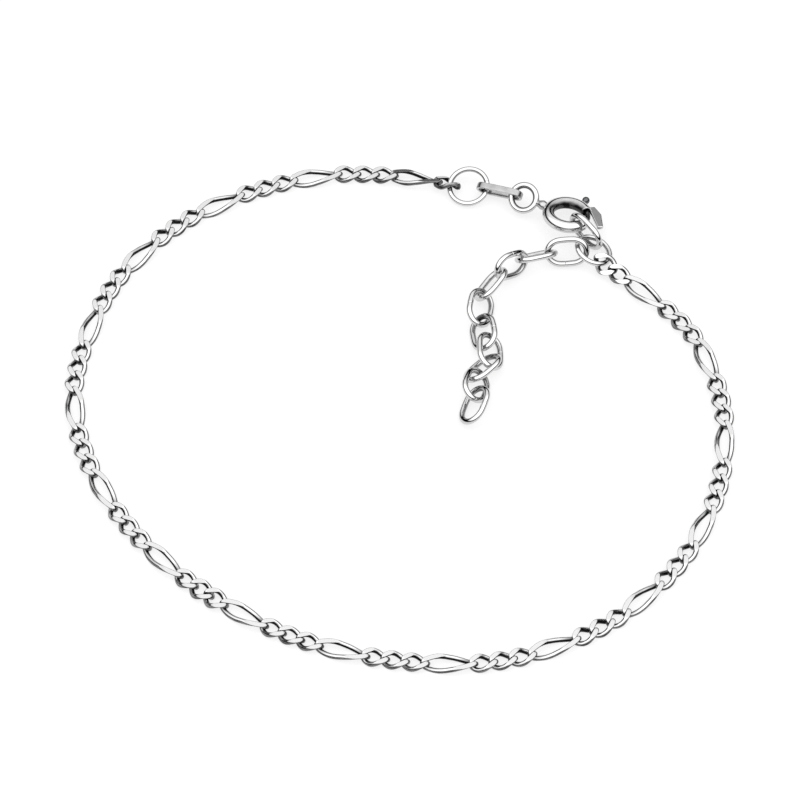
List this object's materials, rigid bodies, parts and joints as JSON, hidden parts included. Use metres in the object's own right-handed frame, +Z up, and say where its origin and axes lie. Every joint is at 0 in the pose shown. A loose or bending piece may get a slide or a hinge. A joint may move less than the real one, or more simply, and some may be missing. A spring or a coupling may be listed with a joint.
{
  "type": "figaro chain bracelet",
  "caption": "Figaro chain bracelet: a closed loop of filed curb links, short ones between long ones, with a spring ring clasp, jump ring and a short extension chain of oval links.",
  "frame": {"origin": "middle of the bracelet's bounding box, on the table that it lies on", "axes": "+Z up from the table, +X along the loop's longer way, to the right as the picture shows it, +Y away from the viewer, towards the clasp's side"},
  "size_m": [0.0628, 0.0584, 0.0035],
  "materials": {
    "chain_silver": "polished, filed flats",
    "ring_silver": "polished",
    "clasp_silver": "polished outside, dull in the bore",
    "bolt_steel": "drawn wire",
    "link_silver": "polished"
  },
  "bodies": {
    "bracelet": {"figaro_chain_a": "chain_silver", "figaro_chain_b": "chain_silver", "jump_ring": "ring_silver", "flat_link": "ring_silver", "spring_ring": "clasp_silver", "hook_link": "link_silver", "end_ring": "ring_silver", "extension_link_01": "link_silver", "extension_link_02": "link_silver", "extension_link_03": "link_silver", "extension_link_04": "link_silver", "extension_link_05": "link_silver", "extension_link_06": "link_silver", "extension_link_07": "link_silver", "extension_link_08": "link_silver", "extension_link_09": "link_silver", "extension_link_10": "link_silver"},
    "bolt": {"spring_ring_bolt": "bolt_steel"}
  },
  "joints": [
    {"name": "bolt_slide", "type": "hinge", "parent": "bracelet", "child": "bolt", "pos_m": [0.0163, 0.0223, 0.00162], "axis": [0.0966, 0.2415, 0.9656], "range_deg": [0, 50], "stiffness_Nm_per_rad": 0.000002, "springref_deg": -28.65}
  ]
}
